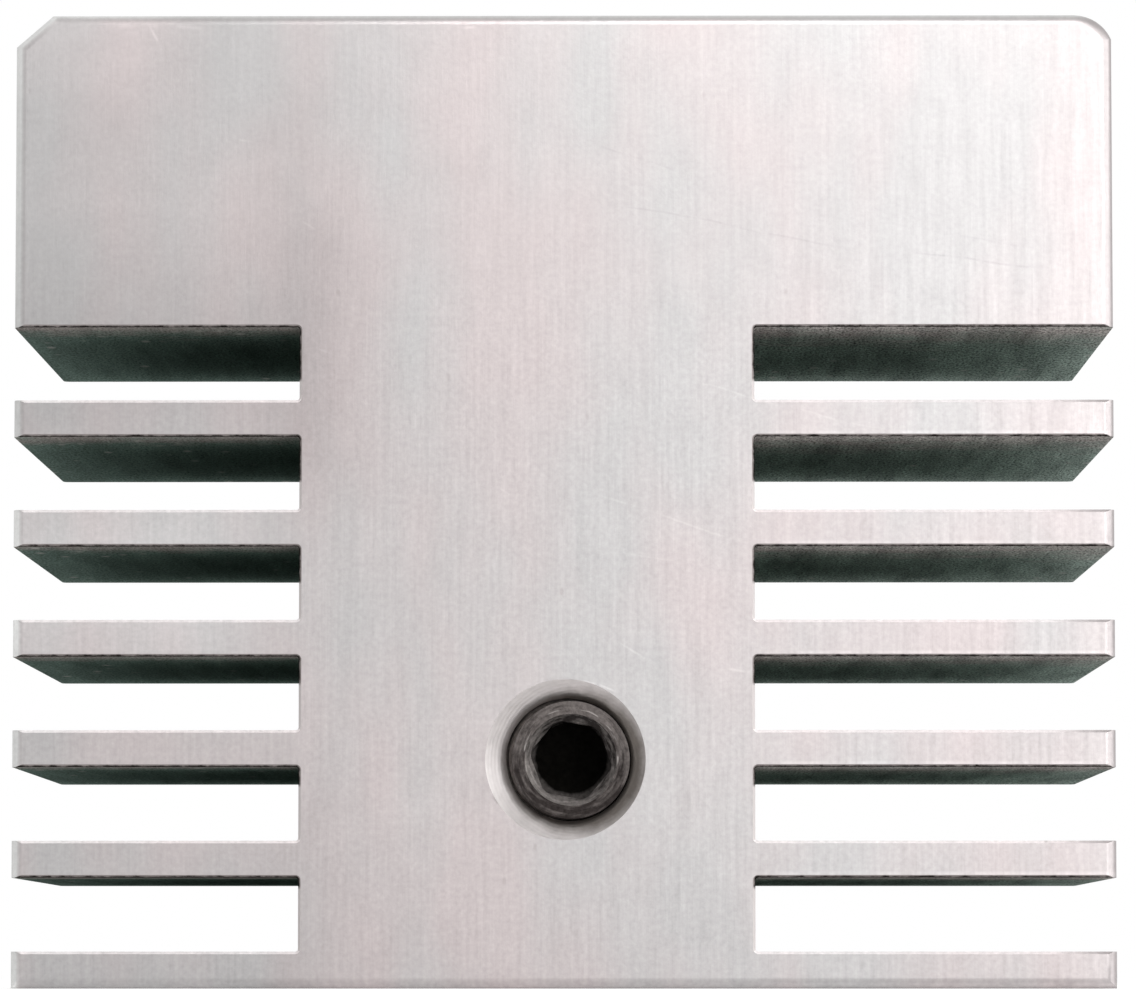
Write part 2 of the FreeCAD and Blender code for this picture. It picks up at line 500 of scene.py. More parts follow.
@dataclass(frozen=True)
class ShadedSawnAluminium:
    """Slot walls as the slitting saw left them, dull, under painted shade: dark and greenish with a
    painted reflection, lighter towards the front face.

    Args:
        name: The material's name.
        deep_shade: The painted shade's colour deep in the slot, greenish, with a painted reflection.
        near_front: The brownish colour towards the front face, where the painted shade is thin.
        torn: The colour where a chip tore the surface.
        chips: The few small bright spots that the chips left.
        lit_depth: How far behind the front face the painted shade is thin, in millimetres.
        raggedness: How far the edge of the painted shade's thin part wanders, in lit depths.
        unevenness: How much the wall's brightness changes along the slot, as a share.
        grain: How much it changes from one grit mark to the next, as a share.
        half_depth: Half of the block's depth.
    """
    name: str = "sawn_aluminium"
    deep_shade: str = "#7A8C84"
    near_front: str = "#9A9490"
    torn: str = "#D8D4D0"
    chips: Spots = Spots((1.8, 0.8, 1.8), 1.0, (0.1, 0.3), 0.72, 0.7)
    lit_depth: float = 3.0
    raggedness: float = 2.5
    unevenness: float = 0.2
    grain: float = 0.6
    half_depth: float = 8.0

    def build(self) -> bpy.types.Material:
        """Makes the material: a dark, greenish painted shade that thins in patches towards the front
        face.

        Returns:
            The finished material. Its grain is the saw's grit marks, longer along the cut and drawn
            0.07 mm wide to show.
        """
        material, add = new_material(self.name)
        place = millimetres(add)
        parts = add("SeparateXYZ", {0: place})
        # Painted shade: dark and greenish, with a painted reflection, deep in the slot; it thins in
        # patches towards the front face
        blotch = add("TexNoise", {"Vector": place, "Scale": 0.55, "Detail": 5.0, "Roughness": 0.7})
        depth = add("Math", {0: parts.outputs["Y"], 1: 1.0 / self.lit_depth,
                             2: self.half_depth / self.lit_depth + self.raggedness / 2.0},
                    operation="MULTIPLY_ADD")
        edge = add("Math", {0: blotch, 1: -self.raggedness, 2: depth}, operation="MULTIPLY_ADD")
        towards_front = add("MapRange", ranged(edge, (0.1, 1.0), FALLING))
        colour = add("Mix", {0: towards_front, A: linear(self.deep_shade), B: linear(self.near_front)},
                     data_type="RGBA")
        stretched = add("VectorMath", {0: place, 1: (14.0, 3.4, 14.0)}, operation="MULTIPLY")
        grain = add("TexNoise", {"Vector": stretched, "Scale": 1.0, "Detail": 3.0, "Roughness": 0.7})
        grain_shade = shade_by(add, grain, self.grain)
        swept = add("VectorMath", {0: place, 1: (1.5, 0.15, 0.3)}, operation="MULTIPLY")
        sweep = add("TexNoise", {"Vector": swept, "Scale": 1.0, "Detail": 3.0, "Roughness": 0.6})
        sweep_shade = shade_by(add, sweep, self.unevenness)
        shade = add("Math", {0: grain_shade, 1: sweep_shade}, operation="MULTIPLY")
        shaded = add("VectorMath", {0: colour, "Scale": shade}, operation="SCALE")
        chipped = add("Mix", {0: self.chips.mask(add, place), A: shaded, B: linear(self.torn)},
                      data_type="RGBA")
        bump = add("Bump", {"Strength": 0.6, "Distance": 0.03 * MM, "Height": grain})
        finish_with(add, chipped, 0.9, bump, metal=False)
        return material


@dataclass(frozen=True)
class ShadedEdge:
    """Lower and inner edges of the slots, under painted shade: black behind a thin, torn sliver of
    bright metal, with painted light on the lower part of the spine's edges.

    Args:
        name: The material's name.
        metal: The colour of the sliver.
        black: The painted shade's colour.
        lit: Painted light, the colour of the lower part of the spine's edges, below the painted shade.
        raggedness: How far the sliver's inner line wanders, in millimetres.
        sliver: How far in front of the face it starts to show, and is full, with its wander added.
        shade_growth: How far the painted shade reaches down the spine's edges, as a share of the height
            above the floor.
        shade_ends: How far below the next fin the painted shade starts to show, and is full, before it
            reaches down.
        underside: How far above a fin's underside its edges end, in millimetres.
        half_depth: Half of the block's depth.
        fin_pitch: Distance between fins.
    """
    name: str = "shaded_edge"
    metal: str = "#98918F"
    black: str = "#1C1917"
    lit: str = "#CFC9C8"
    raggedness: float = 0.13
    sliver: Range = (0.01, 0.05)
    shade_growth: float = 0.085
    shade_ends: Range = (0.2, 0.1)
    underside: float = 0.1
    half_depth: float = 8.0
    fin_pitch: float = 3.0

    def build(self) -> bpy.types.Material:
        """Makes the material: bright at the front face and black painted shade behind an uneven line.

        Returns:
            The finished material.
        """
        material, add = new_material(self.name)
        place = millimetres(add)
        parts = add("SeparateXYZ", {0: place})
        depth = add("Math", {0: parts.outputs["Y"]}, operation="ABSOLUTE")
        torn = add("TexNoise", {"Vector": place, "Scale": 3.5, "Detail": 4.0, "Roughness": 0.7})
        line = add("Math", {0: torn, 1: self.raggedness, 2: depth}, operation="MULTIPLY_ADD")
        bright = add("MapRange", ranged(line, (self.half_depth + self.sliver[0],
                                               self.half_depth + self.sliver[1])))
        edge = add("Mix", {0: bright, A: linear(self.black), B: linear(self.metal)}, data_type="RGBA")
        # Painted shade on the spine's edges hangs down from under the next fin, further the higher the
        # slot; below it, painted light
        above = add("Math", {0: parts.outputs["Z"], 1: self.underside}, operation="SUBTRACT")
        in_pitch = add("Math", {0: above, 1: self.fin_pitch}, operation="MODULO")
        risen = add("Math", {0: parts.outputs["Z"], 1: self.shade_growth, 2: in_pitch},
                    operation="MULTIPLY_ADD")
        in_shade = add("MapRange", ranged(risen, (self.fin_pitch - self.shade_ends[0],
                                              self.fin_pitch - self.shade_ends[1])))
        colour = add("Mix", {0: in_shade, A: linear(self.lit), B: edge}, data_type="RGBA")
        finish_with(add, colour, 0.8, metal=False)
        return material


@dataclass(frozen=True)
class TurnedAluminium:
    """Countersink and bores, cut by a turning tool: brighter metal with fine rings round the axis.

    Args:
        name: The material's name.
        colour: The metal's colour, outside the painted shade.
        shade_colour: The colour of the painted shade that darkens the countersink towards the hole.
        ring_pitch: Distance between the tool's rings.
        chatter: How far the rings wander, in millimetres.
        roughness: The shader's roughness.
        axis: X and Z in millimetres of the middle of the rings and of the painted shade.
        shaded_within: Radius in millimetres outside which there is no painted shade, or 0 where there is
            none.
        shade_fade: How far within that radius the painted shade is full.
        raggedness: How far the painted shade's edge wanders, in millimetres.
        highlight_towards: Direction, as X and Z, towards which it is lighter, a painted highlight, and
            by what share.
    """
    name: str = "turned_aluminium"
    colour: str = "#CBC6C5"
    shade_colour: str = "#7A746F"
    ring_pitch: float = 0.09
    chatter: float = 0.08
    roughness: float = 0.36
    axis: Across = (0.0, 6.2)
    shaded_within: float = 0.0
    shade_fade: float = 0.52
    raggedness: float = 0.3
    highlight_towards: Across = (0.0, 0.0)

    def build(self) -> bpy.types.Material:
        """Makes the material.

        Returns:
            The finished material. The tool's rings are drawn 0.09 mm apart, coarser than real, to show.
        """
        material, add = new_material(self.name)
        place = millimetres(add)
        flat, radius = about_axis(add, place, self.axis)
        chatter = add("TexNoise", {"Vector": place, "Scale": 2.5, "Detail": 3.0, "Roughness": 0.6})
        wander = add("Math", {0: chatter, 1: self.chatter, 2: radius}, operation="MULTIPLY_ADD")
        turns = add("Math", {0: wander, 1: math.tau / self.ring_pitch}, operation="MULTIPLY")
        rings = add("Math", {0: turns}, operation="SINE")
        # Painted shade in the countersink towards the hole, with a ragged edge
        shade_edge_noise = add("TexNoise", {"Vector": place, "Scale": 1.7, "Detail": 4.0, "Roughness": 0.7})
        reach = add("Math", {0: shade_edge_noise, 1: -self.raggedness, 2: radius}, operation="MULTIPLY_ADD")
        lit = add("MapRange", ranged(reach, (self.shaded_within - self.shade_fade,
                                               self.shaded_within - self.raggedness / 2.0)))
        colour = add("Mix", {0: lit, A: linear(self.shade_colour), B: linear(self.colour)},
                     data_type="RGBA")
        shade = add("MapRange", ranged(chatter, MOST, (0.9, 1.06)))
        # Painted highlight: lighter towards one side
        outward = add("VectorMath", {0: flat}, operation="NORMALIZE")
        leant = add("Math", {0: lean_towards(add, outward, self.highlight_towards), 1: shade},
                    operation="ADD")
        shaded = add("VectorMath", {0: colour, "Scale": leant}, operation="SCALE")
        bump = add("Bump", {"Strength": 0.1, "Distance": 0.006 * MM, "Height": rings})
        finish_with(add, shaded, self.roughness, bump)
        return material


@dataclass(frozen=True)
class BlackOxideSteel:
    """Alloy steel with a black oxide skin: dark, faintly brown, scuffed lighter where it stands out,
    with painted light towards one side and a painted highlight ring round the socket.

    Args:
        name: The material's name.
        skin: The oxide's colour.
        rubbed_and_lit: The colour where it is scuffed, and where painted light lightens it.
        steel: The colour of uncoated steel, given to the painted highlight ring.
        roughness: The shader's roughness.
        lighter_towards: Direction across the face, as X and Z, towards which painted light makes it
            lighter.
        lean: How strongly painted light lightens it in that direction.
        ring: Radius in millimetres of a painted highlight ring, broken up here and there.
        ring_lift: How far the ring's middle is above the screw's axis.
        ring_widths: Half of the width over which it is full, and at which it has faded out.
        ring_strength: The most that the ring covers.
        arcs: Fine arcs to a millimetre of radius.
        arc_turn: How much an arc changes along a turn; a small number makes long arcs.
        grain: How much the skin changes from grain to grain, as a share.
        axis: X and Z of the screw's axis in millimetres.
    """
    name: str = "black_oxide_steel"
    skin: str = "#353130"
    rubbed_and_lit: str = "#5E5957"
    steel: str = "#B4AFAC"
    roughness: float = 0.5
    lighter_towards: Across = (0.0, 0.0)
    lean: float = 0.17
    ring: float = 1.275
    ring_lift: float = 0.12
    ring_widths: Range = (0.01, 0.035)
    ring_strength: float = 0.36
    arcs: float = 9.0
    arc_turn: float = 2.2
    grain: float = 0.28
    axis: Across = (0.2, 6.2)

    def build(self) -> bpy.types.Material:
        """Makes the material: a blotchy skin with fine grain and uneven arcs round the axis, with
        painted light towards one side and a painted highlight ring.

        Returns:
            The finished material.
        """
        material, add = new_material(self.name)
        place = millimetres(add)
        flat, radius = about_axis(add, place, self.axis)
        outward = add("VectorMath", {0: flat}, operation="NORMALIZE")
        rise = add("Math", {0: radius, 1: self.arcs}, operation="MULTIPLY")
        wound = add("VectorMath", {0: outward, 1: (self.arc_turn,) * 3,
                                   2: add("CombineXYZ", {"Y": rise})}, operation="MULTIPLY_ADD")
        arcs = add("TexNoise", {"Vector": wound, "Scale": 1.0, "Detail": 4.0, "Roughness": 0.6})
        # Painted light: lighter towards one side, added to the scuffed arcs
        leant = add("Math", {0: lean_towards(add, outward, self.lighter_towards), 1: self.lean,
                             2: arcs}, operation="MULTIPLY_ADD")
        grain = add("TexNoise", {"Vector": place, "Scale": 9.0, "Detail": 3.0, "Roughness": 0.65})
        wear_and_light = add("MapRange", ranged(leant, (0.34, 0.66)))
        colour = add("Mix", {0: wear_and_light, A: linear(self.skin), B: linear(self.rubbed_and_lit)}, data_type="RGBA")
        shaded = add("VectorMath", {0: colour, "Scale": shade_by(add, grain, self.grain)},
                     operation="SCALE")
        # Painted highlight ring round the socket
        ring_highlighted = add("Mix", {0: self.highlight_ring(add, flat, wound), A: shaded, B: linear(self.steel)},
                    data_type="RGBA")
        relief = add("Math", {0: grain, 1: arcs}, operation="ADD")
        bump = add("Bump", {"Strength": 0.5, "Distance": 0.02 * MM, "Height": relief})
        finish_with(add, ring_highlighted, self.roughness, bump)
        return material

    def highlight_ring(self, add: Adder, flat: Wire, wound: Wire) -> bpy.types.Node:
        """Adds a painted highlight: short bright arcs round the socket.

        Args:
            add: Adds a node to the material's tree.
            flat: The place from the axis in millimetres, with no depth.
            wound: The place as direction from the axis, and radius.

        Returns:
            A mask, 0 on the skin and up to the ring's strength in the painted highlight.
        """
        lifted = add("VectorMath", {0: flat, 1: (0.0, 0.0, self.ring_lift)}, operation="SUBTRACT")
        radius = add("VectorMath", {0: lifted}, operation="LENGTH")
        line = thin_line(add, radius, self.ring, self.ring_widths, self.ring_strength)
        breaks = add("TexNoise", {"Vector": wound, "Scale": 1.5, "Detail": 1.0})
        shown = add("MapRange", ranged(breaks, (0.53, 0.65)))
        return add("Math", {0: line, 1: shown}, operation="MULTIPLY")


@dataclass(frozen=True)
class ShadedRecess:
    """Steel or aluminium at the bottom of a narrow recess, under painted shade: dark, dead matt and
    giving back no light, with a patch of painted light where one is given.

    Args:
        name: The material's name.
        colour: The painted shade's colour.
        lit_patch: The colour of the painted light patch.
        centre: X and Z in millimetres of the middle of the darkest painted shade.
        lit_patch_beyond: Radius about it in millimetres outside which the painted light patch lies, or
            none if 0.
        raggedness: How far that edge wanders, in millimetres.
        grain: How much the oil changes from grain to grain, as a share.
    """
    name: str = "shaded_recess"
    colour: str = "#12110F"
    lit_patch: str = "#77726E"
    centre: Across = (0.0, 0.0)
    lit_patch_beyond: float = 0.0
    raggedness: float = 0.08
    grain: float = 0.4

    def build(self) -> bpy.types.Material:
        """Makes the material: painted shade, near black and dead matt, with a faint grain.

        Returns:
            The finished material.
        """
        material, add = new_material(self.name)
        place = millimetres(add)
        away = about_axis(add, place, self.centre)[1]
        # Painted light patch beyond a radius about the centre, with a ragged edge
        ragged = add("TexNoise", {"Vector": place, "Scale": 3.0, "Detail": 3.0, "Roughness": 0.6})
        reach = add("Math", {0: ragged, 1: self.raggedness, 2: away}, operation="MULTIPLY_ADD")
        lit_patch_share = add("MapRange", ranged(reach, (self.lit_patch_beyond + self.raggedness / 2.0,
                                                 self.lit_patch_beyond + self.raggedness * 1.5),
                                         WHOLE if self.lit_patch_beyond > 0.0 else (0.0, 0.0)))
        base = add("Mix", {0: lit_patch_share, A: linear(self.colour), B: linear(self.lit_patch)},
                   data_type="RGBA")
        grain = add("TexNoise", {"Vector": place, "Scale": 6.0, "Detail": 3.0, "Roughness": 0.6})
        shaded = add("VectorMath", {0: base, "Scale": shade_by(add, grain, self.grain)},
                     operation="SCALE")
        finish_with(add, shaded, 0.9, metal=False)
        return material


@dataclass(frozen=True)
class Thread:
    """Right-hand metric thread about the screw's axis, as a radius that depends on angle and depth.

    Args:
        pitch: Distance between turns.
        crest: Larger radius.
        root: Smaller radius.
        phase: The turn at the front face in the direction of +X; the crest is half a turn on.
        start: Depth behind the front face at which the thread begins.
        run_in: Length over which it grows to its full height.
        root_flat: Share of half a pitch that is flat at the root.
        flank: Share of half a pitch that the flank takes.
    """
    pitch: float = 0.7
    crest: float = 1.93
    root: float = 1.6
    phase: float = 0.3
    start: float = 0.45
    run_in: float = 0.35
    root_flat: float = 0.15
    flank: float = 0.65

    def radius(self, angle: np.ndarray, depth: np.ndarray | float) -> np.ndarray:
        """Radius of the flank.

        The turn is depth over pitch plus angle over a whole circle, so the ridge runs away clockwise. A
        triangle wave of it, clipped flat at both ends, goes from the root radius to the crest radius,
        and its height grows from nothing along the run-in.

        Args:
            angle: Radians from +X towards +Z.
            depth: Millimetres behind the front face.

        Returns:
            The radius in millimetres, in the shape that angle and depth have together.
        """
        turn = np.mod(depth / self.pitch + angle / math.tau + self.phase, 1.0)
        wave = 1.0 - np.abs(2.0 * turn - 1.0)
        grown = np.clip((depth - self.start) / self.run_in, 0.0, 1.0)
        ridge = np.clip((wave - self.root_flat) / self.flank, 0.0, 1.0)
        return self.root + (self.crest - self.root) * grown * ridge


def grid_faces(rings: int, around: int) -> np.ndarray:
    """Quads of a grid that closes on itself round the rings.

    Ring i, place j joins the next place and the next ring, and place numbers wrap round.

    Args:
        rings: Number of rings.
        around: Number of places in a ring.

    Returns:
        Four vertex numbers for each quad.
    """
    ring, place = np.meshgrid(np.arange(rings - 1), np.arange(around), indexing="ij")
    after = (place + 1) % around
    corners = (ring * around + place, ring * around + after,
               (ring + 1) * around + after, (ring + 1) * around + place)
    return np.stack(corners, axis=-1).reshape(-1, 4)


def zipped_rings(first: np.ndarray, second: np.ndarray) -> np.ndarray:
    """Triangles between two rings that stand at different angles.

    Each edge of either ring makes one triangle. Its third corner is the other ring's last point whose
    angle comes before the edge's end.

    Args:
        first: Rising angles of the first ring, whose vertices are numbered from 0.
        second: Rising angles of the second ring, numbered on from the first.

    Returns:
        Three vertex numbers for each triangle.
    """
    one, two = len(first), len(second)
    first_ends = np.append(first[1:], first[0] + math.tau)
    second_ends = np.append(second[1:], second[0] + math.tau)
    opposite_first = np.searchsorted(second_ends, first_ends, side="left") % two
    opposite_second = np.searchsorted(first_ends, second_ends, side="right") % one
    a, b = np.arange(one), np.arange(two)
    from_first = np.stack([a, (a + 1) % one, one + opposite_first], axis=-1)
    from_second = np.stack([opposite_second, one + (b + 1) % two, one + b], axis=-1)
    return np.vstack([from_first, from_second])


def bare_copy(source: bpy.types.Mesh) -> bpy.types.Mesh:
    """Copies a mesh without its stored normals.

    Args:
        source: A mesh of triangles.

    Returns:
        A mesh with the same points and faces.
    """
    points = np.empty(len(source.vertices) * 3)
    source.vertices.foreach_get("co", points)
    corners = np.empty(len(source.loops), int)
    source.loops.foreach_get("vertex_index", corners)
    copy = bpy.data.meshes.new("bare_copy")
    copy.from_pydata(points.reshape(-1, 3), [], corners.reshape(-1, 3))
    return copy


def shade_by_angle(mesh: bpy.types.Mesh, degrees: float) -> None:
    """Shades a mesh smooth, with edges sharper than an angle kept crisp."""
    mesh.polygons.foreach_set("use_smooth", np.ones(len(mesh.polygons), bool))
    mesh.set_sharp_from_angle(angle=math.radians(degrees))


def place_piece(name: str, mesh: bpy.types.Mesh, node: str) -> bpy.types.Object:
    """Shows a mesh in the place of a CAD node, on the block's one body.

    Args:
        name: The new piece's name.
        mesh: Its mesh, already in its place.
        node: The CAD node that it stands for.

    Returns:
        The new object.
    """
    piece = bpy.data.objects.new(name, mesh)
    bpy.context.scene.collection.objects.link(piece)
    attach(piece, "root")
    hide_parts(node)
    return piece


class Part(Enum):
    """Finishes of the block, in the order of its material slots."""
    OUTSIDE = 0
    ENDS = 1
    LEFT_SLOT = 2
    RIGHT_SLOT = 3
    EDGE = 4
    BORE = 5
    COUNTERSINK = 6
    THREAD = 7
    CREST = 8


@dataclass
class HeatSinkBlock:
    """The aluminium block: the CAD solid's own form, with its tapped hole cut as a real thread."""
    half_width: float = 15.0
    half_depth: float = 8.0
    height: float = 26.6
    fin_thickness: float = 1.0
    head_bottom: float = 18.0
    spine_left: float = -7.2
    spine_right: float = 5.2
    root_radius: float = 0.08
    edge_break: float = 0.07
    edge_radius: float = 0.3
    bore_radius: float = 3.0
    bore_chamfer: float = 0.3
    bore_x: float = 0.2
    hole_height: float = 6.2
    hole_radius: float = 1.795
    countersink_radius: float = 2.18
    countersink_shift: float = -0.15
    # The cone's own rings are close together, and the thread's go on from them to its end, where it
    # fades out over a length and leaves a short plain stretch
    cone_depth: float = 0.8
    cone_rings: int = 49
    thread_start: float = 0.03
    thread_end: float = 4.5
    last_gap: float = 0.05
    thread_rings: int = 91
    fade_length: float = 0.5
    plain_end: float = 0.1
    thread: Thread = field(default_factory=lambda: Thread(crest=1.955, root=1.625))
    play: float = 0.02
    screw_leans_degrees: float = 25.0
    crisp_degrees: float = 28.0
    # How strongly a large face's direction counts in the shading of its edges, out of 100
    face_weight: int = 90
    # Bounds by which faces find their finish: beside a slot, beside the tapped hole, how far back the
    # hole may lie, how deep its rim reaches and how far a face of the cone may be off the cone
    slot_margin: float = 0.1
    hole_margin: float = 0.2
    hole_back: float = -2.0
    rim_depth: float = 0.1
    off_cone: float = 0.012

    def build(self) -> bpy.types.Object:
        """Builds and dresses the block.

        Returns:
            The piece that stands for the CAD node.
        """
        mesh = self.tapped_copy()
        for finish in self.finishes():
            mesh.materials.append(finish.build())
        shade_by_angle(mesh, self.crisp_degrees)
        piece = place_piece("heat_sink_block", mesh, "heat_sink_body")
        weighted = piece.modifiers.new("flat_faces", "WEIGHTED_NORMAL")
        weighted.keep_sharp = True
        weighted.weight = self.face_weight
        return piece

    def finishes(self) -> list[object]:
        """Chooses the block's materials.

        Returns:
            The finishes in the order of Part.
        """
        return [
            # Front face with scratches, painted highlights and broad painted light and shade
            TumbledAluminium(scratches=FRONT_SCRATCHES_AND_HIGHLIGHTS, patches=FRONT_PAINTED_SHADING),
            TumbledAluminium(name="tumbled_aluminium_ends", lay=Lay.CROSSWISE),
            # Slot walls under painted shade; the right ones are a lighter copy, painted light
            ShadedSawnAluminium(name="shaded_sawn_aluminium"),
            ShadedSawnAluminium(name="lit_sawn_aluminium", deep_shade="#96A39C", near_front="#A9A4A1", lit_depth=6.0,
                          unevenness=0.31, grain=0.9),
            # Painted shade on the slot edges that look down or sideways
            ShadedEdge(),
            TurnedAluminium(name="reamed_bore", colour="#B4AFAE", axis=(self.bore_x, 0.0)),
            # Countersink: painted shade towards the hole and a painted highlight on its left side
            TurnedAluminium(axis=(self.bore_x + 0.14, self.hole_height - 0.05), shaded_within=2.08,
                            highlight_towards=(-0.08, 0.0), roughness=0.48),
            # Painted shade on the tapped thread
            ShadedRecess(name="shaded_thread", colour="#6A6460"),
            # Painted highlight: near-white edge breaks that look up
            TumbledAluminium(name="lit_edge_crest", warm="#EDE6E6", cool="#EAE7E7", roughness=0.7),
        ]

    def tapped_copy(self) -> bpy.types.Mesh:
        """Merges a copy of the CAD solid and swaps the plain hole near its front for the thread.

        Returns:
            The new mesh, with a material number on each face.
        """
        work = bmesh.new()
        work.from_mesh(bare_copy(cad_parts["heat_sink_body"].data))
        bmesh.ops.remove_doubles(work, verts=work.verts[:], dist=WELD * MM)
        self.cut_out_hole(work)
        rim = self.refined_rim(work)
        behind = (self.thread_end - self.half_depth - self.plain_end) * MM
        end = self.points_by_angle([vert for edge in work.edges if edge.is_boundary
                                    for vert in edge.verts if vert.co.y > behind])
        work.from_mesh(self.hole_surface(rim, end))
        bmesh.ops.remove_doubles(work, verts=work.verts[:], dist=SEAM * MM)
        bmesh.ops.triangulate(work, faces=[face for face in work.faces if len(face.verts) > 4])
        bmesh.ops.recalc_face_normals(work, faces=work.faces[:])
        mesh = bpy.data.meshes.new("heat_sink_block")
        work.to_mesh(mesh)
        work.free()
        mesh.update()
        self.number_faces(mesh)
        return mesh

    def near_hole(self, face: bmesh.types.BMFace) -> bool:
        """Tells whether a face is on the wall of the tapped hole or its countersink.

        Args:
            face: A face of the block.

        Returns:
            True where it is in front of the bore, within the countersink's rim, and doesn't look
            forwards or backwards.
        """
        middle = face.calc_center_median() / MM
        away = math.hypot(middle.x - self.bore_x - self.countersink_shift,
                          middle.z - self.hole_height)
        return (middle.y < -self.bore_radius * 0.7 and away < self.countersink_radius - NEAR
                and abs(face.normal.y) < SLOPED)

    def cut_out_hole(self, work: bmesh.types.BMesh) -> None:
        """Removes the hole's wall from the front face down to the thread's end.

        Args:
            work: The block.
        """
        wall = [face for face in work.faces if self.near_hole(face)]
        edges = list({edge for face in wall for edge in face.edges})
        verts = list({vert for face in wall for vert in face.verts})
        plane = (self.thread_end - self.half_depth) * MM
        bmesh.ops.bisect_plane(work, geom=wall + edges + verts, dist=IN_PLANE,
                               plane_co=(0.0, plane, 0.0), plane_no=(0.0, 1.0, 0.0))
        gone = [face for face in work.faces
                if self.near_hole(face) and face.calc_center_median().y < plane]
        bmesh.ops.delete(work, geom=gone, context="FACES")

    def points_by_angle(self, verts: Sequence[bmesh.types.BMVert]) -> np.ndarray:
        """Lists the places of vertices in millimetres, in order of their angle about the hole's axis."""
        places = np.array([vert.co[:] for vert in set(verts)]) / MM
        return places[np.argsort(self.angle_of(places))]

    def angle_of(self, places: np.ndarray) -> np.ndarray:
        """Works out the angle of each place about the hole's axis, from +X towards +Z."""
        return np.arctan2(places[:, 2] - self.hole_height, places[:, 0] - self.bore_x)

    def refined_rim(self, work: bmesh.types.BMesh, cuts: int = 3) -> np.ndarray:
        """Divides the countersink's rim on the front face and returns its points.

        Args:
            work: The block, open where the hole was.
            cuts: New points on each edge of the rim.

        Returns:
            The rim's points in millimetres, in order of their angle about the hole.
        """
        front = -self.half_depth * MM
        rim = [edge for edge in work.edges if edge.is_boundary
               and all(abs(vert.co.y - front) < IN_PLANE for vert in edge.verts)]
        bmesh.ops.bisect_edges(work, edges=rim, cuts=cuts)
        points = {vert for edge in work.edges if edge.is_boundary for vert in edge.verts
                  if abs(vert.co.y - front) < IN_PLANE}
        centre = Vector(((self.bore_x + self.countersink_shift) * MM, front, self.hole_height * MM))
        for vert in points:
            vert.co = centre + (vert.co - centre).normalized() * self.countersink_radius * MM
        return self.points_by_angle(list(points))

    def hole_surface(self, rim: np.ndarray, end: np.ndarray) -> bpy.types.Mesh:
        """Countersink and thread as one surface.

        At each angle and depth the wall stands at the larger of two radii: the cone's, which shrinks by
        as much as it goes deeper about a centre to one side, and the thread's. The thread stands off the
        screw by the play times one less the cosine of the angle from the side that the screw leans to.
        It fades out towards the plain hole, where the last ring meets the CAD wall.

        Args:
            rim: The points on the front face that the surface starts from.
            end: The points on the plain wall that it ends at.

        Returns:
            A mesh that is open at both ends.
        """
        angle = self.angle_of(rim)
        depth = np.concatenate([
            np.linspace(0.0, self.cone_depth, self.cone_rings),
            np.linspace(self.cone_depth + self.thread_start, self.thread_end - self.last_gap,
                        self.thread_rings)])
        turn, deep = np.meshgrid(angle, depth)
        across = self.countersink_radius - deep
        shift = self.countersink_shift
        inside = np.clip(across ** 2 - (shift * np.sin(turn)) ** 2, 0.0, None)
        cone = np.where(across > 0.0, shift * np.cos(turn) + np.sqrt(inside), 0.0)
        fade = np.clip((self.thread_end - self.plain_end - deep) / self.fade_length, 0.0, 1.0)
        gap = self.play * (1.0 - np.cos(turn - math.radians(self.screw_leans_degrees)))
        thread = self.hole_radius + (self.thread.radius(turn, deep) + gap - self.hole_radius) * fade
        wall = np.maximum(cone, thread)
        points = np.stack([self.bore_x + wall * np.cos(turn), deep - self.half_depth,
                           self.hole_height + wall * np.sin(turn)], axis=-1)
        points[0] = rim
        last = (len(depth) - 1) * len(angle)
        quads = grid_faces(len(depth), len(angle))
        strip = zipped_rings(angle, self.angle_of(end)) + last
        patch = bpy.data.meshes.new("hole_surface")
        patch.from_pydata(np.vstack([points.reshape(-1, 3), end]) * MM, [],
                          quads.tolist() + strip.tolist())
        patch.update()
        return patch

    def number_faces(self, mesh: bpy.types.Mesh) -> None:
        """Gives each face the number of its finish, by where it is and which way it looks.

        Args:
            mesh: The block's mesh.
        """
        count = len(mesh.polygons)
        centre = np.empty(count * 3)
        normal = np.empty(count * 3)
        mesh.polygons.foreach_get("center", centre)
        mesh.polygons.foreach_get("normal", normal)
        x, y, z = (centre.reshape(-1, 3) / MM).T
        nx, ny, nz = np.abs(normal.reshape(-1, 3)).T
        number = np.full(count, Part.OUTSIDE.value)
        number[(nz > SQUARE) & ((z < NEAR) | (z > self.height - NEAR))] = Part.ENDS.value
        finned = ((z > self.fin_thickness - self.slot_margin)
                  & (z < self.head_bottom + self.slot_margin))
        beside = np.minimum(np.abs(x - self.spine_left), np.abs(x - self.spine_right))
        root = (beside < self.root_radius + NEAR) & (nx > 0.05)
        slotted = finned & (ny < ALONG) & ((nz > SQUARE) | root)
        number[slotted] = np.where(x < 0.0, Part.LEFT_SLOT.value, Part.RIGHT_SLOT.value)[slotted]
        sloped = (ny > ALONG) & (ny < SLOPED)
        broken = (np.abs(y) > self.half_depth - self.edge_break - NEAR) & sloped
        upwards = normal.reshape(-1, 3)[:, 2] > ALONG
        chamfered = finned & broken & (np.abs(x) < self.half_width - self.edge_radius - NEAR)
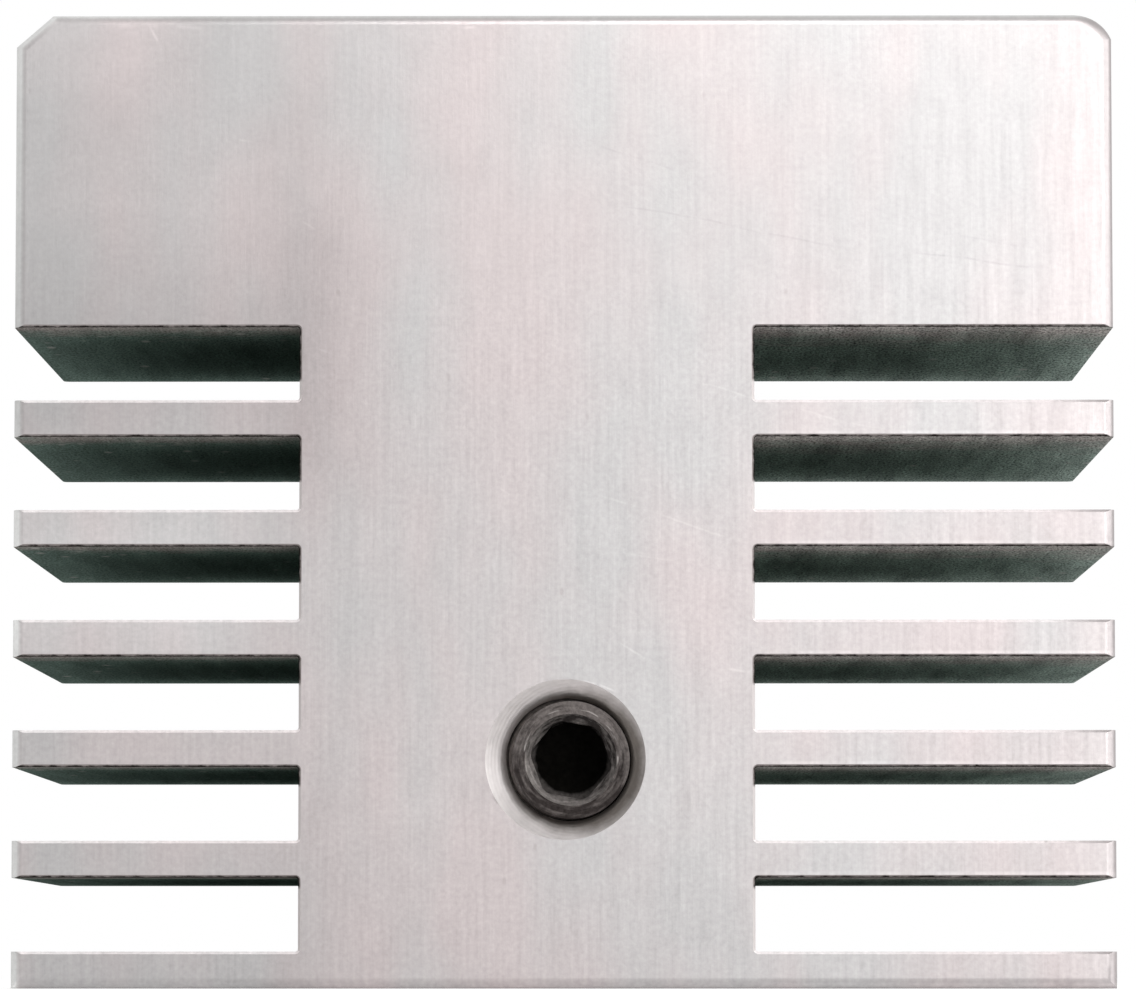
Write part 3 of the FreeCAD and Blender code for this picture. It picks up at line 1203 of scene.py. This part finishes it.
        # Edge breaks that look up take the painted highlight, the others the painted shade
        number[chamfered] = np.where(upwards, Part.CREST.value, Part.EDGE.value)[chamfered]
        across = x - self.bore_x
        bored = np.hypot(across, y) < self.bore_radius + self.bore_chamfer + NEAR
        number[bored & (nz < 0.9)] = Part.BORE.value
        away = np.hypot(across, z - self.hole_height)
        holed = ((y < self.hole_back) & (ny < SLOPED)
                 & (away < self.countersink_radius + self.hole_margin))
        number[holed & (np.hypot(across, y) > self.bore_radius - 0.05)] = Part.COUNTERSINK.value
        depth = y + self.half_depth
        shifted = np.hypot(across - self.countersink_shift, z - self.hole_height)
        off_cone = np.abs(shifted - (self.countersink_radius - depth)) > self.off_cone
        number[holed & off_cone & (depth > self.rim_depth)] = Part.THREAD.value
        mesh.polygons.foreach_set("material_index", number.astype(np.int32))


class ScrewPart(Enum):
    """Finishes of the set screw, in the order of its material slots."""
    FACE = 0
    THREAD = 1
    SOCKET = 2
    MOUTH = 3


@dataclass
class SetScrew:
    """The M4 x 4 socket set screw with a cup point, one closed surface of rings round its axis."""
    axis_x: float = 0.2
    axis_height: float = 6.2
    front: float = -8.0
    face_depth: float = 0.3
    length: float = 4.0
    face_radius: float = 1.6
    tip_radius: float = 1.25
    cup_radius: float = 1.0
    cup_depth: float = 0.5
    across_flats: float = 2.0
    corner_reach: float = 1.1
    mouth_radius: float = 1.25
    socket_depth: float = 1.7
    cone_depth: float = 0.4
    turn_degrees: float = 20.0
    # Lift and radius that place the socket's painted light patch low in it
    lit_patch_lift: float = 0.12
    lit_patch_radius: float = 0.96
    around: int = 144
    thread_rings: int = 100
    thread: Thread = field(default_factory=Thread)
    crisp_degrees: float = 32.0

    def build(self) -> bpy.types.Object:
        """Builds and dresses the screw.

        Returns:
            The piece that stands for the CAD node.
        """
        mesh = self.surface()
        # Face: lighter towards the top, painted light, with the painted highlight ring
        finishes = (BlackOxideSteel(skin="#2A2625", rubbed_and_lit="#585351", lighter_towards=(0.1, 1.0)),
                    BlackOxideSteel(name="black_oxide_thread", skin="#4A4644", rubbed_and_lit="#6B6663"),
                    # Socket: painted shade with a painted light patch low in it
                    ShadedRecess(lit_patch="#565250", centre=(self.axis_x, self.axis_height + self.lit_patch_lift),
                                lit_patch_beyond=self.lit_patch_radius),
                    # Socket mouth: lighter towards the lower left, painted light
                    BlackOxideSteel(name="socket_mouth_wear_and_light", skin="#302D2C", rubbed_and_lit="#8A8582",
                                    lighter_towards=(-0.5, -0.85), roughness=0.4))
        for finish in finishes:
            mesh.materials.append(finish.build())
        shade_by_angle(mesh, self.crisp_degrees)
        return place_piece("cup_point_set_screw", mesh, "set_screw")

    def flat_radius(self, angle: np.ndarray) -> np.ndarray:
        """Radius of the hexagon, whose corners are rounded off.

        It is half the hexagon's width over the cosine of the angle from the nearest flat, and no more
        than the corners' reach.

        Args:
            angle: Radians from +X towards +Z.

        Returns:
            The radius in millimetres.
        """
        from_corner = np.mod(angle - math.radians(90.0 + self.turn_degrees), math.radians(60.0))
        flats = self.across_flats / 2.0 / np.cos(from_corner - math.radians(30.0))
        return np.minimum(flats, self.corner_reach)

    def outer_radius(self, angle: np.ndarray, depth: float) -> np.ndarray:
        """Radius of the turned outside: the smallest of the two end chamfers' and the thread's.

        Args:
            angle: Radians from +X towards +Z.
            depth: Millimetres behind the block's front face.

        Returns:
            The radius in millimetres.
        """
        front_cone = self.face_radius + (depth - self.face_depth)
        back_cone = self.tip_radius + (self.face_depth + self.length - depth)
        return np.minimum(min(front_cone, back_cone), self.thread.radius(angle, depth))

    def ring(self, radius: np.ndarray | float, depth: np.ndarray | float) -> np.ndarray:
        """Makes a ring: its radius and its depth at every angle."""
        return np.stack([np.broadcast_to(radius, self.around), np.broadcast_to(depth, self.around)])

    def surface(self) -> bpy.types.Mesh:
        """All rings from the bottom of the socket, over the face and the thread, to the cup.

        Rings follow one another along the section: drilled cone, hexagon wall, chamfered mouth, face,
        thread, tip and cup. Between two corners of the section they stand at shares of the straight way,
        and along the thread at its own radius. A point closes each end.

        Returns:
            The screw's mesh with a material number on each face.
        """
        angle = math.radians(self.turn_degrees) + np.arange(self.around) * math.tau / self.around
        flats = self.flat_radius(angle)
        start = self.face_depth
        end = start + self.length
        floor = start + self.socket_depth
        drilled = self.ring(0.0, floor + self.cone_depth)
        foot = self.ring(flats, floor)
        top = self.ring(flats, start + self.mouth_radius - flats)
        mouth = self.ring(self.mouth_radius, start)
        outer = self.ring(self.outer_radius(angle, start), start)
        cup = self.ring(self.cup_radius, end)
        point = self.ring(0.0, end - self.cup_depth)
        straight = (
            (ScrewPart.SOCKET, drilled, self.ring(self.across_flats / 2.0, floor),
             np.linspace(0.15, 1.0, 5)),
            (ScrewPart.SOCKET, foot, top, np.linspace(0.0, 1.0, 6)),
            (ScrewPart.MOUTH, top, mouth, (0.5, 1.0)),
            (ScrewPart.FACE, mouth, outer, (0.3, 0.6, 0.9, 1.0)),
            (ScrewPart.FACE, cup, point, (0.0, 0.3, 0.6, 0.85)),
        )
        rings = [(kind.value, one + (two - one) * share)
                 for kind, one, two, shares in straight for share in shares]
        turned = [(ScrewPart.THREAD.value, self.ring(self.outer_radius(angle, depth), depth))
                  for depth in np.linspace(start, end, self.thread_rings + 1)[1:]]
        before_cup = len(rings) - len(straight[-1][-1])
        rings[before_cup:before_cup] = turned
        radius, depth = np.array([ring for _, ring in rings]).transpose(1, 0, 2)
        points = np.stack([self.axis_x + radius * np.cos(angle), depth + self.front,
                           self.axis_height + radius * np.sin(angle)], axis=-1).reshape(-1, 3)
        ends = np.array([(self.axis_x, self.front + floor + self.cone_depth, self.axis_height),
                         (self.axis_x, self.front + end - self.cup_depth, self.axis_height)])
        count = len(points)
        place = np.arange(self.around)
        after = (place + 1) % self.around
        last = count - self.around
        quads = grid_faces(len(rings), self.around)[:, ::-1]
        first_fan = np.stack([place, after, np.full(self.around, count)], axis=-1)
        last_fan = np.stack([last + after, last + place, np.full(self.around, count + 1)], axis=-1)
        mesh = bpy.data.meshes.new("cup_point_set_screw")
        mesh.from_pydata(np.vstack([points, ends]) * MM, [],
                         quads.tolist() + first_fan.tolist() + last_fan.tolist())
        mesh.update()
        kinds = [kind for kind, _ in rings[1:]] + [ScrewPart.SOCKET.value, ScrewPart.FACE.value]
        mesh.polygons.foreach_set("material_index", np.repeat(kinds, self.around).astype(np.int32))
        return mesh


@dataclass(frozen=True)
class Lamp:
    """A square soft lamp.

    Args:
        name: Its name.
        place: Where it stands, in millimetres.
        aim: The point that it faces.
        size: Its side.
        watts: Its power.
    """
    name: str
    place: tuple[float, float, float]
    aim: tuple[float, float, float]
    size: float
    watts: float

    def build(self) -> None:
        """Puts the lamp in the scene, where the camera doesn't see it."""
        data = bpy.data.lights.new(self.name, "AREA")
        data.size = self.size * MM
        data.energy = self.watts
        lamp = bpy.data.objects.new(self.name, data)
        lamp.location = Vector(self.place) * MM
        way = Vector(self.aim) - Vector(self.place)
        lamp.rotation_euler = way.to_track_quat("-Z", "Y").to_euler()
        lamp.visible_camera = False
        bpy.context.scene.collection.objects.link(lamp)


@dataclass
class Studio:
    """Pale floor, white surround, soft lamps and the camera."""
    camera_place: tuple[float, float, float] = (1.3, -180.0, 0.3)
    camera_aim: tuple[float, float, float] = (0.12, -8.0, 13.37)
    lens: float = 200.8
    sensor: float = 36.0
    clip: Range = (0.01, 10.0)
    ambient: float = 0.5
    floor_size: float = 2400.0
    floor_level: float = -0.01
    floor_lift: float = 0.58
    lamps: Sequence[Lamp] = (
        Lamp("key", (64.0, -175.0, 36.0), (3.0, -8.0, 14.0), 80.0, 0.0945),
        Lamp("top", (8.0, -50.0, 55.0), (3.0, -8.0, 14.0), 20.0, 0.0120),
        Lamp("side", (130.0, -60.0, 28.0), (0.0, -4.0, 10.0), 140.0, 0.11),
    )

    def build(self) -> None:
        """Sets the stage, the world, the lamps and the camera."""
        bpy.context.scene.view_settings.view_transform = "Standard"
        self.make_world()
        self.make_floor()
        for lamp in self.lamps:
            lamp.build()
        self.make_camera()

    def make_world(self) -> None:
        """Makes a world that is white where it is seen, and a plain grey to light by."""
        world = bpy.data.worlds.new("white_surround")
        world.use_nodes = True
        world.node_tree.nodes.clear()
        add = partial(add_node, world.node_tree)
        strength = add("MapRange", ranged(self.seen_directly(add), WHOLE, (self.ambient, 1.0)))
        sky = add("Background", {"Color": linear("#FFFFFF"), "Strength": strength})
        add("OutputWorld", {"Surface": sky})
        bpy.context.scene.world = world

    def seen_directly(self, add: Adder) -> bpy.types.Node:
        """Tells rays that show a thing from rays that light by it.

        Args:
            add: Adds a node to the tree.

        Returns:
            1 for a ray of the camera, of a reflection or through glass, and 0 for any other.
        """
        path = add("LightPath").outputs
        mirrored = add("Math", {0: path["Is Camera Ray"], 1: path["Is Glossy Ray"]},
                       operation="MAXIMUM")
        return add("Math", {0: mirrored, 1: path["Is Transmission Ray"]}, operation="MAXIMUM")

    def make_floor(self) -> None:
        """Makes a large matt white sheet just under the block, partly its own light, with a shadow."""
        half, level = self.floor_size / 2.0 * MM, self.floor_level * MM
        mesh = bpy.data.meshes.new("floor")
        mesh.from_pydata([(-half, -half, level), (half, -half, level), (half, half, level),
                          (-half, half, level)], [], [(0, 1, 2, 3)])
        material, add = new_material("matt_white_sheet")
        fibre = add("TexNoise", {"Vector": millimetres(add), "Scale": 0.8, "Detail": 2.0})
        shade = add("MapRange", ranged(fibre, WHOLE, (0.88, 0.92)))
        paper = add("BsdfDiffuse", {"Color": shade})
        lift = add("Math", {0: self.seen_directly(add), 1: self.floor_lift}, operation="MULTIPLY")
        glow = add("Emission", {"Color": linear("#FFFFFF"), "Strength": lift})
        add("OutputMaterial", {"Surface": add("AddShader", {0: paper, 1: glow})})
        mesh.materials.append(material)
        floor = bpy.data.objects.new("floor", mesh)
        bpy.context.scene.collection.objects.link(floor)

    def make_camera(self) -> None:
        """Puts the camera low in front of the block, a little to the right, aimed at its middle."""
        data = bpy.data.cameras.new("camera")
        data.lens = self.lens
        data.sensor_width = self.sensor
        data.clip_start, data.clip_end = self.clip
        camera = bpy.data.objects.new("camera", data)
        place = Vector(self.camera_place) * MM
        way = Vector(self.camera_aim) * MM - place
        camera.location = place
        camera.rotation_euler = way.to_track_quat("-Z", "Y").to_euler()
        bpy.context.scene.collection.objects.link(camera)
        bpy.context.scene.camera = camera


# Outer edges at the left, at the top and at the bevel between them: the direction outwards, and how far
# out from the origin their painted highlight starts
EDGE_BAND_FROM = (((-1.0, 0.0, 0.0), 14.7), ((0.0, 0.0, 1.0), 26.4), ((-0.656, 0.0, 0.755), 29.0))

# Scratches that the photograph shows on the head, the spine and the fins, and painted highlights along
# the top rim and the countersink's upper right rim
FRONT_SCRATCHES_AND_HIGHLIGHTS = (
    FaceStreak(0.78, 23.05, 1.6, 22.75, -0.1),
    FaceStreak(1.6, 22.75, 3.6, 22.1, -0.07),
    FaceStreak(0.97, 21.35, 8.0, 20.22, -0.09),
    FaceStreak(9.3, 20.08, 13.3, 19.62, -0.11),
    FaceStreak(10.7, 20.55, 12.95, 20.18, -0.06),
    FaceStreak(-8.98, 23.2, -8.2, 23.1, 0.22),
    FaceStreak(-7.1, 21.0, -6.7, 20.7, 0.12),
    # Painted highlight along the top rim
    FaceStreak(-12.6, 26.3, -9.8, 26.25, 0.16, 0.1),
    FaceStreak(-11.5, 26.4, -11.2, 25.75, 0.2, 0.05),
    # Painted highlight along the top rim
    FaceStreak(-3.1, 26.24, -2.4, 26.2, 0.25, 0.06),
    FaceStreak(3.4, 16.4, 6.1, 15.75, 0.1),
    FaceStreak(6.0, 15.8, 9.2, 15.2, 0.1),
    FaceStreak(0.67, 13.5, 5.3, 12.1, 0.1),
    FaceStreak(1.1, 11.9, 5.0, 11.4, 0.06),
    FaceStreak(1.3, 9.45, 2.35, 8.8, 0.2),
    FaceStreak(4.4, 8.7, 5.2, 8.6, 0.12),
    FaceStreak(-1.8, 13.6, -1.1, 13.3, 0.14),
    FaceStreak(-0.95, 17.6, -0.9, 9.5, -0.05, 0.03),
    FaceStreak(-7.0, 17.5, -6.4, 17.3, 0.1),
    FaceStreak(-2.03, 5.28, -1.81, 5.06, -0.35, 0.07),
    # Painted highlight along the countersink's upper right rim, in two pieces
    FaceStreak(0.45, 8.33, 0.92, 8.2, 0.25),
    FaceStreak(0.92, 8.2, 1.43, 7.96, 0.25),
)

# Broad, faint painted shade and painted light on the front face, drawn like streaks that fade out slowly
FRONT_PAINTED_SHADING = (
    FaceStreak(-7.2, 27.0, -7.2, 11.0, -0.08, 1.8),
    FaceStreak(-17.0, 26.6, -10.5, 26.6, 0.14, 3.0),
    FaceStreak(-19.0, 17.3, -6.0, 17.3, -0.16, 4.0),
    FaceStreak(-19.0, 11.0, -8.0, 11.0, 0.25, 3.5),
    FaceStreak(-6.4, 22.0, -6.4, 12.5, -0.09, 2.4),
    FaceStreak(-7.6, 7.5, -7.6, -2.5, -0.07, 3.0),
    FaceStreak(13.5, 15.0, 13.5, 2.0, -0.055, 6.0),
)


def main() -> None:
    """Builds the block, the screw and the studio, in that order."""
    logging.basicConfig(level=logging.INFO, format="%(message)s")
    for maker in (HeatSinkBlock(), SetScrew()):
        piece = maker.build()
        log.info("%s: %d faces", piece.name, len(piece.data.polygons))
    Studio().build()


if __name__ == "__main__":
    main()
